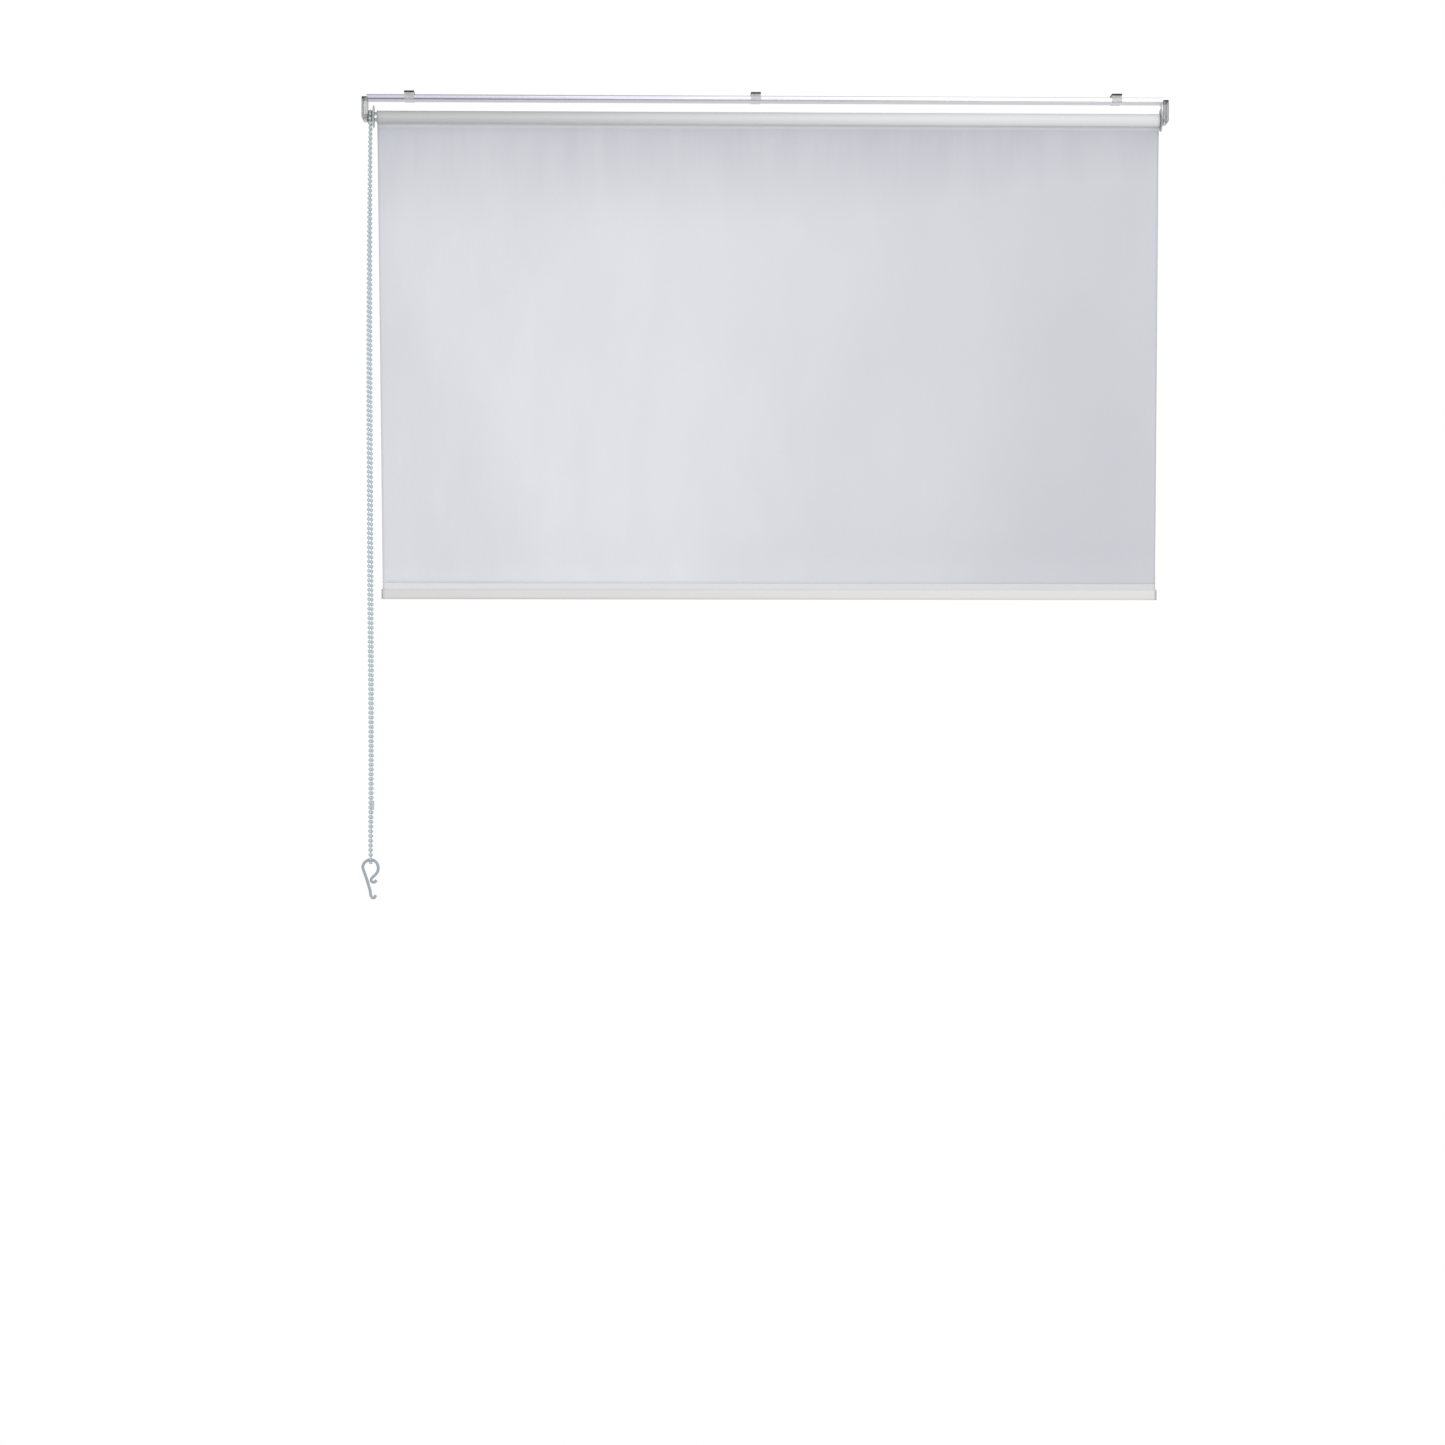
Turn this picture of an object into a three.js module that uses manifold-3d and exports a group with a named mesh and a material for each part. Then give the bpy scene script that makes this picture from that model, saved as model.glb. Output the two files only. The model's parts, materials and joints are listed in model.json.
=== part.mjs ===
// Roller blind with a side bead-chain drive, hung from a clip-on aluminium rail.
// Millimetres, +Z up, +X to the right, -Y towards the room.
// The origin is the middle of the top face of the middle ceiling clip.
// Along X everything is placed from the middle of the film.

import * as THREE from "three";
import { mergeVertices } from "three/addons/utils/BufferGeometryUtils.js";
import Module from "manifold-3d";

const wasm = await Module();
wasm.setup();

// ---- driving dimensions ----

const GAP = 0.3; // clearance between pieces that touch
const RUNNING_GAP = 0.3; // radial clearance of what turns or slides

const FILM_WIDTH = 1000;
const FILM_HANG = 594.2; // from the roller's axis down to the hem, half lowered
const HEM_WIDTH = 986; // the film draws in from the roll to the hem
const HEM_SHIFT = 0.9; // the hem's middle, to the right of the roll's
const FILM_SOLID = 0.4; // thickness of the film's plain solid

const RAIL_DROP = 5; // from the ceiling down to the rail's top
const RAIL_HEIGHT = 6.6;
const RAIL_DEPTH = 22;
const RAIL_WALL = 1;
const RAIL_CHAMFER = 0.6;
const REBATE_HEIGHT = 1.2; // the step along each lower edge, that the clips grip under
const REBATE_DEPTH = 1.2;
const RAIL_LAP = 1; // how far each end of the rail sits in its bracket

const CLIP_WIDTH = 12.7;
const CLIP_PLATE = 1.8;
const CLIP_LEG = 1.3;
const CLIP_PAD = 1.4; // thickness of the two pads that press on the rail
const CLIP_PAD_INSET = 2.2; // from the rail's side to a pad
const CLIP_LIP = 0.9;
const CLIP_INSET_LEFT = 54; // from the rail's end to the clip's middle
const CLIP_INSET_RIGHT = 60;
const CLIP_MIDDLE_SHIFT = -13.2; // from the rail's middle
const SCREW_HOLE_RADIUS = 2.2;
const SCREW_HOLE_BACK = 4.6; // the hole's centre, behind the clip's middle

const AXIS_DROP = 20.6; // from the rail's underside to the roller's axis
const TUBE_RADIUS = 6;
const TUBE_WALL = 0.8;
const WOUND_RADIUS = 8; // the film wound on the tube
const TAPE_THICKNESS = 0.14;
const TAPE_ANGLE = 90; // degrees round the tube

const DISC_RADIUS = 14.5;
const DISC_THICKNESS = 1.6;
const DRIVE_FILM_GAP = 3.1; // from the film's edge to the drive disc
const IDLE_FILM_GAP = 0.3;
const IDLE_END_GAP = 0.8; // from the idle disc to its bracket
const PLUG_REACH = 30; // how far each plug goes into the tube
const PLUG_WALL = 1.6;

const BEAD_RADIUS = 2.25;
const CHAIN_RADIUS = 7.64; // eight beads, 6 mm apart, to a turn of the wheel
const WHEEL_RADIUS = 9;
const WHEEL_FLANK = 0.55;

const SPRING_ROOM = 0.4; // from a wrap spring out to the plug's bore
const CORE_COLLAR_RADIUS = 4.2;
const CORE_KEY = 5; // side of the square that the bracket holds
const SHAFT_CHAMFER = 0.5;
const SPRING_WIRE = 0.6;
const WRAP_SPRING_LENGTH = 12;
const WRAP_SPRING_TURNS = 5;

const PIN_SHOULDER = 1; // from the pin's collar in to its shaft
const PIN_COLLAR = 2.7; // length of the pin's collar
const PIN_LIP = 8.1; // length of the narrow bore that holds the collar back
const PIN_TIP_INSET = 0.5; // from the bracket's outer face to the pin's tip
const IDLE_SPRING_TURNS = 7;
const SEAT_THICKNESS = 2;

const BRACKET_DEPTH = 4.9;
const BRACKET_WEB = 2;
const BRACKET_RIM = 1.8;
const BRACKET_HALF_WIDTH = 12;
const BRACKET_TOP_DROP = 2.7; // below the rail's top
const BRACKET_FOOT = 6.2; // below the roller's axis
const BRACKET_FOOT_RADIUS = 6;
const BRACKET_TOP_RADIUS = 1.5;
const BOSS_RADIUS = 4.5;
const BOSS_LENGTH = 2.1;
const TONGUE_LENGTH = 18;
const TONGUE_SINK = 0.2; // the tongue's top, below the bracket's
const TONGUE_WALL = 1.2;
const COVER_THICKNESS = 2.1;
const COVER_ROUND = 1;
const HEEL_RADIUS = 5.5; // where the outer face turns in to the foot

const BAR_HEIGHT = 12.1;
const BAR_DEPTH = 5;
const BAR_WALL = 1;
const HEM_WALL = 0.3;
const HEM_TAIL = 6.5; // height of the weld over the bar's pocket
const HEM_TAIL_THICKNESS = 0.8;
const CAP_PLATE = 1.2;
const CAP_SPIGOT = 10;

const CONNECTOR_LENGTH = 12;
const CONNECTOR_RADIUS = 2.8;
const HOOK_ROD_RADIUS = 1.9;

// ---- places worked out from them ----

const railTop = -RAIL_DROP;
const railBottom = railTop - RAIL_HEIGHT;
const axisZ = railBottom - AXIS_DROP;
const filmY = WOUND_RADIUS + RUNNING_GAP + FILM_SOLID / 2; // it hangs from the roll's back
const filmLeft = -FILM_WIDTH / 2;
const filmRight = FILM_WIDTH / 2;
const hemLeft = HEM_SHIFT - HEM_WIDTH / 2;
const hemRight = HEM_SHIFT + HEM_WIDTH / 2;

const driveDiscX = filmLeft - DRIVE_FILM_GAP; // the disc's face towards the film
const wheelWidth = 2 * (BEAD_RADIUS + RUNNING_GAP + WHEEL_FLANK);
const wheelRight = driveDiscX - DISC_THICKNESS - GAP;
const chainX = wheelRight - wheelWidth / 2;
const leftFace = wheelRight - wheelWidth - RUNNING_GAP; // the left bracket's inner face
const idleDiscX = filmRight + IDLE_FILM_GAP;
const rightFace = idleDiscX + DISC_THICKNESS + IDLE_END_GAP;
const plugRadius = TUBE_RADIUS - TUBE_WALL - GAP;
const plugBore = plugRadius - PLUG_WALL;
const coreRadius = plugBore - SPRING_ROOM - SPRING_WIRE - GAP;
const pinRadius = plugBore - RUNNING_GAP - PIN_SHOULDER;

const railLeft = leftFace - RAIL_LAP;
const railRight = rightFace + RAIL_LAP;
const middleClipX = (railLeft + railRight) / 2 + CLIP_MIDDLE_SHIFT;

// ---- making solids ----

const alongX = new THREE.Matrix4().makeBasis(
  new THREE.Vector3(0, 1, 0),
  new THREE.Vector3(0, 0, 1),
  new THREE.Vector3(1, 0, 0),
);

function solidOf(geometry) {
  const bare = geometry.index ? geometry.toNonIndexed() : geometry.clone();
  bare.deleteAttribute("normal");
  bare.deleteAttribute("uv");
  const merged = mergeVertices(bare, 1e-4);
  return new wasm.Manifold(
    new wasm.Mesh({
      numProp: 3,
      vertProperties: merged.attributes.position.array,
      triVerts: new Uint32Array(merged.index.array),
    }),
  );
}

function geometryOf(solid) {
  const mesh = solid.getMesh();
  const geometry = new THREE.BufferGeometry();
  geometry.setAttribute("position", new THREE.BufferAttribute(mesh.vertProperties, 3));
  geometry.setIndex(new THREE.BufferAttribute(mesh.triVerts, 1));
  return geometry;
}

function cut(geometry, ...tools) {
  const left = tools.reduce((solid, tool) => solid.subtract(solidOf(tool)), solidOf(geometry));
  return geometryOf(left);
}

function join(geometry, ...others) {
  const whole = others.reduce((solid, other) => solid.add(solidOf(other)), solidOf(geometry));
  return geometryOf(whole);
}

function common(geometry, other) {
  return geometryOf(solidOf(geometry).intersect(solidOf(other)));
}

function shapeOf(points, holes = []) {
  const shape = new THREE.Shape(points.map(([a, b]) => new THREE.Vector2(a, b)));
  shape.holes = holes.map((hole) => new THREE.Path(hole.map(([a, b]) => new THREE.Vector2(a, b))));
  return shape;
}

// An outline in (y, z) drawn out along X from one x to another.
function prism(shape, x0, x1, bevel = {}) {
  const geometry = new THREE.ExtrudeGeometry(shape, { depth: x1 - x0, bevelEnabled: false, ...bevel });
  return geometry.applyMatrix4(alongX).translate(x0, 0, 0);
}

// A closed profile of [x, radius] points, counter-clockwise, turned about the X axis at height z.
function turned(profile, segments, z = axisZ) {
  const points = [...profile, profile[0]].map(([x, r]) => new THREE.Vector2(r, x));
  const geometry = new THREE.LatheGeometry(points.reverse(), segments);
  return geometry.rotateZ(-Math.PI / 2).translate(0, 0, z);
}

function box(x0, x1, y0, y1, z0, z1) {
  const geometry = new THREE.BoxGeometry(x1 - x0, y1 - y0, z1 - z0);
  return geometry.translate((x0 + x1) / 2, (y0 + y1) / 2, (z0 + z1) / 2);
}

function pipe(x0, x1, inner, outer, segments) {
  return turned([[x0, inner], [x1, inner], [x1, outer], [x0, outer]], segments);
}

function regular(radius, sides) {
  const turn = (2 * Math.PI) / sides;
  const corner = (i) => [radius * Math.cos(i * turn), radius * Math.sin(i * turn)];
  return shapeOf(Array.from({ length: sides }, (_, i) => corner(i)));
}

function rod(curve, radius, sides, steps) {
  return new THREE.ExtrudeGeometry(regular(radius, sides), { steps, extrudePath: curve, bevelEnabled: false });
}

// Points round part of a circle in the plane of an outline, angles in degrees.
function arc(a, b, radius, from, to, steps) {
  return Array.from({ length: steps + 1 }, (_, i) => {
    const angle = THREE.MathUtils.degToRad(from + ((to - from) * i) / steps);
    return [a + radius * Math.cos(angle), b + radius * Math.sin(angle)];
  });
}

// A rectangle in (y, z) with one radius for its two lower corners and one for its two upper ones.
function rounded(halfWidth, bottom, top, footRadius, topRadius, steps = 5) {
  const foot = halfWidth - footRadius;
  const head = halfWidth - topRadius;
  return [
    ...arc(-foot, bottom + footRadius, footRadius, 180, 270, steps),
    ...arc(foot, bottom + footRadius, footRadius, 270, 360, steps),
    ...arc(head, top - topRadius, topRadius, 0, 90, 2),
    ...arc(-head, top - topRadius, topRadius, 90, 180, 2),
  ];
}

// An upright oval in (y, z): straight sides and half-round ends.
function oval(y, z, depth, height, steps = 6) {
  const r = depth / 2;
  const half = height / 2 - r;
  return [...arc(y, z + half, r, 0, 180, steps), ...arc(y, z - half, r, 180, 360, steps)];
}

class Helix extends THREE.Curve {
  constructor(x0, x1, radius, turns) {
    super();
    Object.assign(this, { x0, x1, radius, turns });
  }
  getPoint(t, target = new THREE.Vector3()) {
    const angle = 2 * Math.PI * this.turns * t;
    const x = this.x0 + (this.x1 - this.x0) * t;
    return target.set(x, this.radius * Math.cos(angle), this.radius * Math.sin(angle) + axisZ);
  }
}

// A smooth curve stepped evenly from point to point, so that short bends get as many steps as long runs.
class Route extends THREE.CatmullRomCurve3 {
  getPointAt(u, target) {
    return this.getPoint(u, target);
  }
  getTangentAt(u, target) {
    return this.getTangent(u, target);
  }
}

function coil(x0, x1, radius, turns, stepsPerTurn) {
  const half = SPRING_WIRE / 2;
  return rod(new Helix(x0 + half, x1 - half, radius, turns), half, 6, turns * stepsPerTurn);
}

// ---- finishes ----

const finish = {
  aluminium: { color: 0xc9c8d0, roughness: 0.35, metalness: 1 },
  steel: { color: 0xb9bcc0, roughness: 0.3, metalness: 1 },
  clear: { color: 0xdfe6ea, roughness: 0.12, metalness: 0 },
  moulded: { color: 0x9d9694, roughness: 0.5, metalness: 0 },
  film: { color: 0xd6d9e2, roughness: 0.55, metalness: 0 },
  bar: { color: 0xdfdbd6, roughness: 0.6, metalness: 0 },
  bead: { color: 0xd3e0e6, roughness: 0.2, metalness: 0 },
  tape: { color: 0xe8e4d8, roughness: 0.7, metalness: 0 },
};

function piece(name, geometry, look) {
  const mesh = new THREE.Mesh(geometry, new THREE.MeshStandardMaterial(look));
  mesh.name = name;
  return mesh;
}

function groupOf(...children) {
  const group = new THREE.Group();
  group.add(...children);
  return group;
}

// ---- rail and clips ----

const flangeFoot = railBottom + REBATE_HEIGHT;
const hollowHalf = RAIL_DEPTH / 2 - REBATE_DEPTH - RAIL_WALL;
const hollowTop = railTop - RAIL_WALL;
const hollowBottom = railBottom + RAIL_WALL;

function headRail() {
  const half = RAIL_DEPTH / 2;
  const side = [
    [half - REBATE_DEPTH - RAIL_CHAMFER, railBottom],
    [half - REBATE_DEPTH, railBottom + RAIL_CHAMFER],
    [half - REBATE_DEPTH, flangeFoot],
    [half, flangeFoot],
    [half, railTop - RAIL_CHAMFER],
    [half - RAIL_CHAMFER, railTop],
  ];
  const otherSide = side.map(([y, z]) => [-y, z]).reverse();
  const hollow = [
    [-hollowHalf, hollowBottom],
    [-hollowHalf, hollowTop],
    [hollowHalf, hollowTop],
    [hollowHalf, hollowBottom],
  ];
  return prism(shapeOf([...side, ...otherSide], [hollow]), railLeft, railRight);
}

function ceilingClip(x) {
  const legInside = RAIL_DEPTH / 2 + GAP;
  const legOutside = legInside + CLIP_LEG;
  const lipTip = RAIL_DEPTH / 2 - REBATE_DEPTH + GAP;
  const lipTop = flangeFoot - GAP;
  const lipFoot = lipTop - CLIP_LIP;
  const padOuter = RAIL_DEPTH / 2 - CLIP_PAD_INSET;
  const padInner = padOuter - CLIP_PAD;
  const padEnd = railTop + GAP;
  const side = [
    [padInner, -CLIP_PLATE],
    [padInner, padEnd],
    [padOuter, padEnd],
    [padOuter, -CLIP_PLATE],
    [legInside, -CLIP_PLATE],
    [legInside, lipTop],
    [lipTip, lipTop],
    [lipTip, lipFoot],
    [legOutside, lipFoot],
    [legOutside, -CLIP_PLATE / 2],
    [legOutside - CLIP_PLATE / 2, 0],
  ];
  const otherSide = side.map(([y, z]) => [-y, z]).reverse();
  const body = prism(shapeOf([...side, ...otherSide]), x - CLIP_WIDTH / 2, x + CLIP_WIDTH / 2);
  const hole = new THREE.CylinderGeometry(SCREW_HOLE_RADIUS, SCREW_HOLE_RADIUS, 4 * CLIP_PLATE, 20);
  return cut(body, hole.rotateX(Math.PI / 2).translate(x, SCREW_HOLE_BACK, 0));
}

// ---- brackets and covers ----
// Each is made with its inner face at inner and its outer side out of the blind, which is
// -1 for the left end and 1 for the right end.

const bracketTop = railTop - BRACKET_TOP_DROP;
const bracketBottom = axisZ - BRACKET_FOOT;

function between(a, b) {
  return [Math.min(a, b), Math.max(a, b)];
}

function bracketOutline(inset) {
  return shapeOf(
    rounded(
      BRACKET_HALF_WIDTH - inset,
      bracketBottom + inset,
      bracketTop - inset,
      BRACKET_FOOT_RADIUS - inset,
      Math.max(BRACKET_TOP_RADIUS - inset, 0.3),
    ),
  );
}

// Everything of an end that lies inside its outer face, with the heel's round under it.
function heel(inner, out) {
  const face = inner + out * (BRACKET_DEPTH + GAP + COVER_THICKNESS);
  const room = 2 * BRACKET_HALF_WIDTH;
  const x = (distance) => face - out * distance;
  const side = [
    ...arc(HEEL_RADIUS, bracketBottom + HEEL_RADIUS, HEEL_RADIUS, 180, 270, 6).map(([a, b]) => [x(a), b]),
    [x(room), bracketBottom],
    [x(room), railTop],
    [x(0), railTop],
  ];
  const geometry = new THREE.ExtrudeGeometry(shapeOf(side), { depth: 2 * room, bevelEnabled: false });
  return geometry.rotateX(Math.PI / 2).translate(0, room, 0);
}

function bracket(inner, out) {
  const outer = inner + out * BRACKET_DEPTH;
  const web = outer - out * BRACKET_WEB;
  const plate = prism(bracketOutline(0), ...between(inner, outer));
  const pocket = prism(bracketOutline(BRACKET_RIM), ...between(inner - out, web));
  const seatHalf = RAIL_DEPTH / 2 + GAP;
  const seatEnds = between(inner - out, inner + out * (RAIL_LAP + GAP));
  const seat = box(...seatEnds, -seatHalf, seatHalf, railBottom - GAP, railTop);
  const tongueHalf = hollowHalf - GAP;
  const tongueTop = Math.min(hollowTop - GAP, bracketTop - TONGUE_SINK);
  const tongueBottom = hollowBottom + GAP;
  const tongueEnds = between(web + out * 0.5, inner - out * TONGUE_LENGTH);
  const tongue = cut(
    box(...tongueEnds, -tongueHalf, tongueHalf, tongueBottom, tongueTop),
    box(
      tongueEnds[0] - 1,
      tongueEnds[1] + 1,
      TONGUE_WALL - tongueHalf,
      tongueHalf - TONGUE_WALL,
      tongueBottom - 1,
      tongueTop - TONGUE_WALL,
    ),
  );
  return join(common(cut(plate, pocket, seat), heel(inner, out)), tongue);
}

function leftBracket() {
  const outer = leftFace - BRACKET_DEPTH;
  const half = CORE_KEY / 2 + GAP;
  const socket = box(outer - 1, leftFace, -half, half, axisZ - half, axisZ + half);
  return cut(bracket(leftFace, -1), socket);
}

function rightBracket() {
  const outer = rightFace + BRACKET_DEPTH;
  const web = outer - BRACKET_WEB;
  const boss = pipe(web - BOSS_LENGTH, web + BRACKET_WEB / 2, pinRadius + RUNNING_GAP, BOSS_RADIUS, 28);
  const bore = turned([[web - 1, 0], [outer + 1, 0], [outer + 1, pinRadius + RUNNING_GAP], [web - 1, pinRadius + RUNNING_GAP]], 28);
  return cut(join(bracket(rightFace, 1), boss), bore);
}

function cover(inner, out) {
  const start = inner + out * (BRACKET_DEPTH + GAP);
  const end = start + out * COVER_THICKNESS;
  const bevel = {
    bevelEnabled: true,
    bevelThickness: COVER_ROUND,
    bevelSize: COVER_ROUND,
    bevelOffset: -COVER_ROUND,
    bevelSegments: 4,
  };
  const straight = between(start - out * COVER_ROUND, end - out * COVER_ROUND);
  const cap = prism(bracketOutline(0), ...straight, bevel);
  const room = 2 * BRACKET_HALF_WIDTH;
  const outside = box(...between(start, end + out), -room, room, bracketBottom - 1, bracketTop + 1);
  return common(common(cap, outside), heel(inner, out));
}

// ---- drive end ----

function chainWheel() {
  const left = wheelRight - wheelWidth;
  const bore = coreRadius + RUNNING_GAP;
  const floor = CHAIN_RADIUS - BEAD_RADIUS - RUNNING_GAP;
  return turned(
    [
      [left, bore],
      [wheelRight, bore],
      [wheelRight, WHEEL_RADIUS],
      [wheelRight - WHEEL_FLANK, WHEEL_RADIUS],
      [wheelRight - WHEEL_FLANK, floor],
      [left + WHEEL_FLANK, floor],
      [left + WHEEL_FLANK, WHEEL_RADIUS],
      [left, WHEEL_RADIUS],
    ],
    36,
  );
}

function drivePlug() {
  const outside = driveDiscX - DISC_THICKNESS;
  const edge = DISC_THICKNESS / 4;
  const bore = coreRadius + RUNNING_GAP;
  return turned(
    [
      [outside, bore],
      [driveDiscX, bore],
      [driveDiscX, plugBore],
      [driveDiscX + PLUG_REACH, plugBore],
      [driveDiscX + PLUG_REACH, plugRadius],
      [driveDiscX, plugRadius],
      [driveDiscX, DISC_RADIUS - edge],
      [driveDiscX - edge, DISC_RADIUS],
      [outside + edge, DISC_RADIUS],
      [outside, DISC_RADIUS - edge],
    ],
    40,
  );
}

function clutchCore() {
  const outer = leftFace - BRACKET_DEPTH;
  const collarLeft = outer + BRACKET_WEB + GAP;
  const end = driveDiscX + PLUG_REACH - GAP;
  const post = turned(
    [
      [collarLeft, 0],
      [end, 0],
      [end, coreRadius - SHAFT_CHAMFER],
      [end - SHAFT_CHAMFER, coreRadius],
      [leftFace, coreRadius],
      [leftFace, CORE_COLLAR_RADIUS],
      [collarLeft, CORE_COLLAR_RADIUS],
    ],
    24,
  );
  const half = CORE_KEY / 2;
  return join(post, box(outer + GAP, collarLeft + 1, -half, half, axisZ - half, axisZ + half));
}

function wrapSpring(start) {
  const radius = coreRadius + GAP + SPRING_WIRE / 2;
  return coil(start, start + WRAP_SPRING_LENGTH, radius, WRAP_SPRING_TURNS, 12);
}

// ---- idle end ----

const lipX = idleDiscX + DISC_THICKNESS - PIN_LIP; // where the plug's narrow bore starts
const seatX = idleDiscX - PLUG_REACH; // the plug's closed end

function idlePlug() {
  const outside = idleDiscX + DISC_THICKNESS;
  const edge = DISC_THICKNESS / 4;
  const bore = pinRadius + RUNNING_GAP;
  return turned(
    [
      [seatX, 0],
      [seatX + SEAT_THICKNESS, 0],
      [seatX + SEAT_THICKNESS, plugBore],
      [lipX, plugBore],
      [lipX, bore],
      [outside, bore],
      [outside, DISC_RADIUS - edge],
      [outside - edge, DISC_RADIUS],
      [idleDiscX + edge, DISC_RADIUS],
      [idleDiscX, DISC_RADIUS - edge],
      [idleDiscX, plugRadius],
      [seatX, plugRadius],
    ],
    40,
  );
}

const collarRight = lipX - GAP;
const collarLeft = collarRight - PIN_COLLAR;

function idlePin() {
  const tip = rightFace + BRACKET_DEPTH - PIN_TIP_INSET;
  return turned(
    [
      [collarLeft, 0],
      [tip, 0],
      [tip, pinRadius - SHAFT_CHAMFER],
      [tip - SHAFT_CHAMFER, pinRadius],
      [collarRight, pinRadius],
      [collarRight, plugBore - RUNNING_GAP],
      [collarLeft, plugBore - RUNNING_GAP],
    ],
    24,
  );
}

function idleSpring() {
  const radius = plugBore - 2 * GAP - SPRING_WIRE / 2;
  return coil(seatX + SEAT_THICKNESS + GAP, collarLeft - GAP, radius, IDLE_SPRING_TURNS, 11);
}

// ---- roller ----

function fixingTape() {
  const inner = TUBE_RADIUS + 0.08;
  const outer = inner + TAPE_THICKNESS;
  const from = 180 - TAPE_ANGLE / 2;
  const to = 180 + TAPE_ANGLE / 2;
  const section = [...arc(0, axisZ, outer, from, to, 8), ...arc(0, axisZ, inner, to, from, 8)];
  return prism(shapeOf(section), filmLeft + 5, filmRight - 5);
}

const rollBore = TUBE_RADIUS + GAP;

// ---- film, hem and weight bar ----

const hemTop = axisZ - FILM_HANG;
const pocketHeight = BAR_HEIGHT + 2 * (GAP + HEM_WALL);
const pocketDepth = BAR_DEPTH + 2 * (GAP + HEM_WALL);
const barZ = hemTop - HEM_TAIL - pocketHeight / 2;

function fabricSheet() {
  const foot = hemTop + GAP;
  const outline = shapeOf([[hemLeft, foot], [hemRight, foot], [filmRight, axisZ], [filmLeft, axisZ]]);
  const geometry = new THREE.ExtrudeGeometry(outline, { depth: FILM_SOLID, bevelEnabled: false });
  return geometry.rotateX(Math.PI / 2).translate(0, filmY + FILM_SOLID / 2, 0);
}

function hemPocket() {
  const half = HEM_TAIL_THICKNESS / 2;
  const sleeve = prism(
    shapeOf(oval(filmY, barZ, pocketDepth, pocketHeight), [
      oval(filmY, barZ, pocketDepth - 2 * HEM_WALL, pocketHeight - 2 * HEM_WALL).reverse(),
    ]),
    hemLeft,
    hemRight,
  );
  const tailFoot = hemTop - HEM_TAIL - HEM_WALL / 2;
  return join(sleeve, box(hemLeft, hemRight, filmY - half, filmY + half, tailFoot, hemTop));
}

function bottomBar() {
  const hollow = oval(filmY, barZ, BAR_DEPTH - 2 * BAR_WALL, BAR_HEIGHT - 2 * BAR_WALL).reverse();
  return prism(shapeOf(oval(filmY, barZ, BAR_DEPTH, BAR_HEIGHT), [hollow]), hemLeft, hemRight);
}

function barCap(end, out) {
  const depth = BAR_DEPTH - 2 * BAR_WALL - 2 * GAP;
  const height = BAR_HEIGHT - 2 * BAR_WALL - 2 * GAP;
  const face = end + out * GAP;
  const plate = prism(shapeOf(oval(filmY, barZ, pocketDepth, pocketHeight)), ...between(face, face + out * CAP_PLATE));
  const ends = between(face + (out * CAP_PLATE) / 2, end - out * CAP_SPIGOT);
  return join(plate, prism(shapeOf(oval(filmY, barZ, depth, height)), ...ends));
}

// ---- chain, connector and hook ----
// The chain's route is given from the middle of the wheel. It starts over the connector, goes up the
// back strand, over the wheel, down the front strand and round through the hook to the connector.

const CHAIN_ROUTE = [
  [2.8, 7.64, -869.7],
  [2.9, 7.64, -840],
  [2.9, 7.64, -740],
  [2.2, 7.64, -600],
  [1.3, 7.64, -450],
  [0.4, 7.64, -330],
  [0, 7.64, -200],
  [-0.1, 7.64, -80],
  [0, 7.64, -12],
  [0, 7.64, 0],
  [0, 6.62, 3.82],
  [0, 3.82, 6.62],
  [0, 0, 7.64],
  [0, -3.82, 6.62],
  [0, -6.62, 3.82],
  [0, -7.64, 0],
  [0, -7.64, -12],
  [-0.8, -7.64, -80],
  [-1.8, -7.64, -200],
  [-2, -7.64, -330],
  [-1.3, -7.64, -450],
  [-0.4, -7.64, -600],
  [1.1, -7.64, -740],
  [1.6, -7.64, -850],
  [1.5, -7.64, -930],
  [1.9, -7.64, -942],
  [1.9, -6.62, -945.82],
  [1.9, -3.82, -948.62],
  [1.9, 0, -949.64],
  [1.9, 3.82, -948.62],
  [1.9, 6.62, -945.82],
  [1.9, 7.64, -942],
  [2, 7.64, -930],
  [2.8, 7.64, -882.3],
];
const CHAIN_LOWEST = -949.64;
const CHAIN_FOOT_X = 1.9; // the hook and the bight, to the right of the wheel's middle
const CONNECTOR_X = 2.8;
const CONNECTOR_MIDDLE = -876;

// The hook's middle line in (x, z), from the middle of its crown, from the curl inside the eye,
// up over the crown and down the long leg to the curled foot.
const HOOK_LINE = [
  [7.4, -25.9],
  [5.4, -28.2],
  [2.4, -28.4],
  [0.5, -26],
  [1.6, -23.1],
  [4.8, -20.1],
  [8.2, -16.2],
  [9.7, -11],
  [8.7, -5.8],
  [5.2, -1.4],
  [0, 0],
  [-5.2, -1.4],
  [-8.9, -5.2],
  [-10, -9.7],
  [-8.4, -14.9],
  [-5.6, -22.7],
  [-3, -31.1],
  [-0.6, -39.5],
  [0.1, -44.7],
  [1.9, -47.9],
  [4.8, -48.2],
  [6.5, -44.9],
];

function beadChain() {
  const points = CHAIN_ROUTE.map(([x, y, z]) => new THREE.Vector3(chainX + x, y, axisZ + z));
  return rod(new Route(points), BEAD_RADIUS, 10, 2 * (points.length - 1));
}

function chainConnector() {
  const half = CONNECTOR_LENGTH / 2;
  const round = 0.8;
  const profile = [
    [0, -half],
    [CONNECTOR_RADIUS - round, -half],
    [CONNECTOR_RADIUS, round - half],
    [CONNECTOR_RADIUS, half - round],
    [CONNECTOR_RADIUS - round, half],
    [0, half],
  ];
  const geometry = new THREE.LatheGeometry(profile.map(([r, h]) => new THREE.Vector2(r, h)), 16);
  return geometry.rotateX(Math.PI / 2).translate(chainX + CONNECTOR_X, CHAIN_RADIUS, axisZ + CONNECTOR_MIDDLE);
}

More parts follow.
